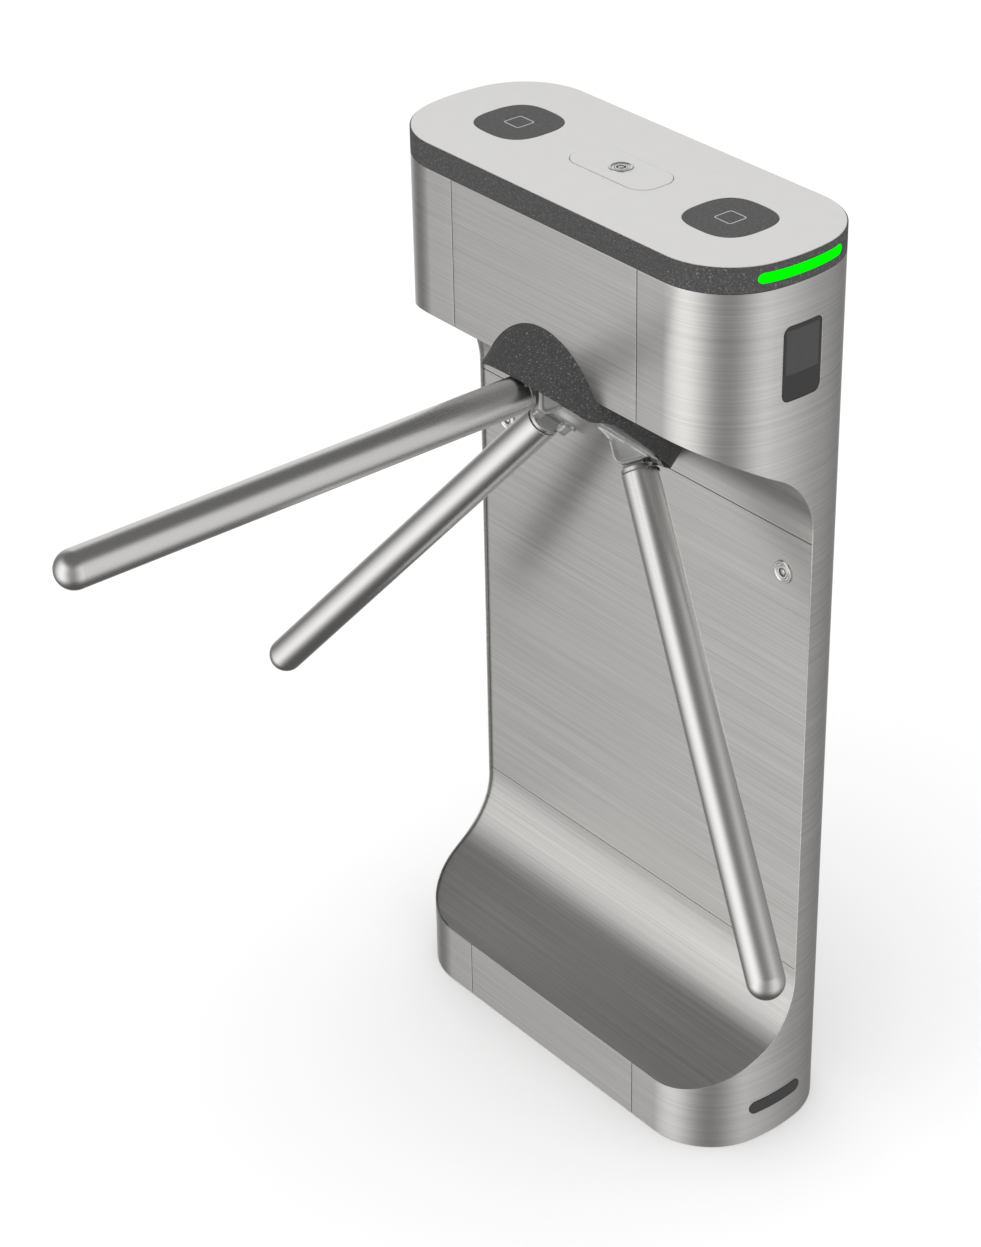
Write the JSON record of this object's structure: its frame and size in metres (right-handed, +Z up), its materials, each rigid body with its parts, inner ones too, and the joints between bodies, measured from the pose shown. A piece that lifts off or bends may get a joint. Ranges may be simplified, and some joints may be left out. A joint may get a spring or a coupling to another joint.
{
  "type": "tripod turnstile",
  "caption": "Slim floor-standing turnstile: a recessed steel pedestal with falling barrier arms on a tilted rotating hub, card readers on top and end displays.",
  "frame": {"origin": "centre of the base plate's underside, on the floor", "axes": "+Z up, X along the walkway, -Y towards the arms and the person passing"},
  "size_m": [0.7974, 0.7394, 1.002],
  "materials": {
    "brushed_steel": "brushed stainless",
    "polished_steel": "polished",
    "arm_steel": "satin stainless tube",
    "hub_casting": "smooth satin casting",
    "dark_paint": "fine textured powder coat",
    "pale_top": "satin",
    "dark_glass": "smoked window",
    "reader_cover": "fine textured",
    "light_lens": "lit green lens",
    "zinc_steel": "zinc plated",
    "machined_steel": "machined",
    "nylon": "natural nylon",
    "black_plastic": "moulded",
    "circuit_board": "green board",
    "coil": "wound coil in a steel case"
  },
  "bodies": {
    "pedestal": {"near_end_shell": "brushed_steel", "far_end_shell": "brushed_steel", "back_panel": "brushed_steel", "head_front_panel": "brushed_steel", "head_underside_panel": "brushed_steel", "service_door": "brushed_steel", "step_panel": "brushed_steel", "base_front_panel": "brushed_steel", "door_lock_bodies": "polished_steel", "top_ring": "dark_paint", "hub_shroud": "dark_paint", "name_plate": "dark_paint", "top_plate": "pale_top", "display_window_near": "dark_glass", "display_window_far": "dark_glass", "reader_window_near": "reader_cover", "reader_window_far": "reader_cover", "status_light_near": "light_lens", "status_light_far": "light_lens", "base_plate": "zinc_steel", "frame": "zinc_steel", "mechanism_plate": "zinc_steel", "bearing_housing": "zinc_steel", "power_supply": "zinc_steel", "bearings": "machined_steel", "mechanism_bolts": "machined_steel", "pawl_pivots": "machined_steel", "centring_spring": "machined_steel", "damper": "black_plastic", "cable_gland": "black_plastic", "reader_boards": "circuit_board", "display_boards": "circuit_board", "encoder_sensor": "circuit_board", "control_board": "circuit_board", "entry_solenoid": "coil", "exit_solenoid": "coil"},
    "rotor": {"hub": "hub_casting", "hub_bolt": "machined_steel", "main_shaft": "machined_steel", "drive_gear": "nylon", "index_cam": "machined_steel", "locking_disc": "machined_steel", "encoder_disc": "machined_steel", "pivot_pins": "machined_steel", "latched_sockets": "arm_steel", "latched_arms": "arm_steel"},
    "drop_arm": {"blocking_socket": "arm_steel", "blocking_arm": "arm_steel"},
    "hatch": {"service_hatch": "pale_top", "hatch_lock_body": "polished_steel"},
    "hatch_plug": {"hatch_key_plug": "polished_steel"},
    "door_plug_near": {"door_key_plug_near": "polished_steel"},
    "door_plug_far": {"door_key_plug_far": "polished_steel"},
    "pinion": {"damper_pinion": "machined_steel"},
    "entry_pawl_body": {"entry_pawl": "machined_steel"},
    "exit_pawl_body": {"exit_pawl": "machined_steel"},
    "entry_plunger_body": {"entry_plunger": "machined_steel"},
    "exit_plunger_body": {"exit_plunger": "machined_steel"},
    "lever": {"follower_lever": "machined_steel"},
    "roller": {"follower_roller": "nylon"}
  },
  "joints": [
    {"name": "rotor_spin", "type": "hinge", "parent": "pedestal", "child": "rotor", "pos_m": [0, -0.0106, 0.8072], "axis": [0, -0.6972, -0.7169], "continuous": true},
    {"name": "arm_drop", "type": "hinge", "parent": "rotor", "child": "drop_arm", "pos_m": [0, -0.1006, 0.8032], "axis": [1, 0, 0], "range_deg": [0, 90]},
    {"name": "hatch_open", "type": "hinge", "parent": "pedestal", "child": "hatch", "pos_m": [0, 0.008, 0.9986], "axis": [-1, 0, 0], "range_deg": [0, 95]},
    {"name": "hatch_lock_turn", "type": "hinge", "parent": "hatch", "child": "hatch_plug", "pos_m": [0, 0, 0.995], "axis": [0, 0, -1], "range_deg": [0, 90]},
    {"name": "door_lock_near_turn", "type": "hinge", "parent": "pedestal", "child": "door_plug_near", "pos_m": [0.206, 0.03, 0.6455], "axis": [0, -1, 0], "range_deg": [0, 90]},
    {"name": "door_lock_far_turn", "type": "hinge", "parent": "pedestal", "child": "door_plug_far", "pos_m": [-0.206, 0.03, 0.6455], "axis": [0, 1, 0], "range_deg": [0, 90]},
    {"name": "damper_spin", "type": "hinge", "parent": "pedestal", "child": "pinion", "pos_m": [0, -0.05321, 0.87096], "axis": [0, -0.6972, -0.7169], "continuous": true},
    {"name": "entry_plunger_push", "type": "slide", "parent": "pedestal", "child": "entry_plunger_body", "axis": [0, 0.7169, -0.6972], "range_m": [0, 0.0021], "stiffness_N_per_m": 2000},
    {"name": "exit_plunger_push", "type": "slide", "parent": "pedestal", "child": "exit_plunger_body", "axis": [0, 0.7169, -0.6972], "range_m": [0, 0.0021], "stiffness_N_per_m": 2000},
    {"name": "entry_pawl_swing", "type": "hinge", "parent": "pedestal", "child": "entry_pawl_body", "pos_m": [0.074, -0.01149, 0.87083], "axis": [0, 0.6972, 0.7169], "range_deg": [0, 9]},
    {"name": "exit_pawl_swing", "type": "hinge", "parent": "pedestal", "child": "exit_pawl_body", "pos_m": [-0.074, -0.01149, 0.87083], "axis": [0, -0.6972, -0.7169], "range_deg": [0, 9]},
    {"name": "lever_swing", "type": "hinge", "parent": "pedestal", "child": "lever", "pos_m": [-0.048, 0.05091, 0.78783], "axis": [0, 0.6972, 0.7169], "range_deg": [0, 4], "stiffness_Nm_per_rad": 2},
    {"name": "roller_spin", "type": "hinge", "parent": "lever", "child": "roller", "pos_m": [0, 0.04231, 0.7962], "axis": [0, -0.6972, -0.7169], "continuous": true}
  ],
  "couplings": [
    {"joint": "damper_spin", "follows": "rotor_spin", "ratio": -4},
    {"joint": "entry_pawl_swing", "follows": "entry_plunger_push", "rad_per_m": 74.8},
    {"joint": "exit_pawl_swing", "follows": "exit_plunger_push", "rad_per_m": 74.8}
  ]
}
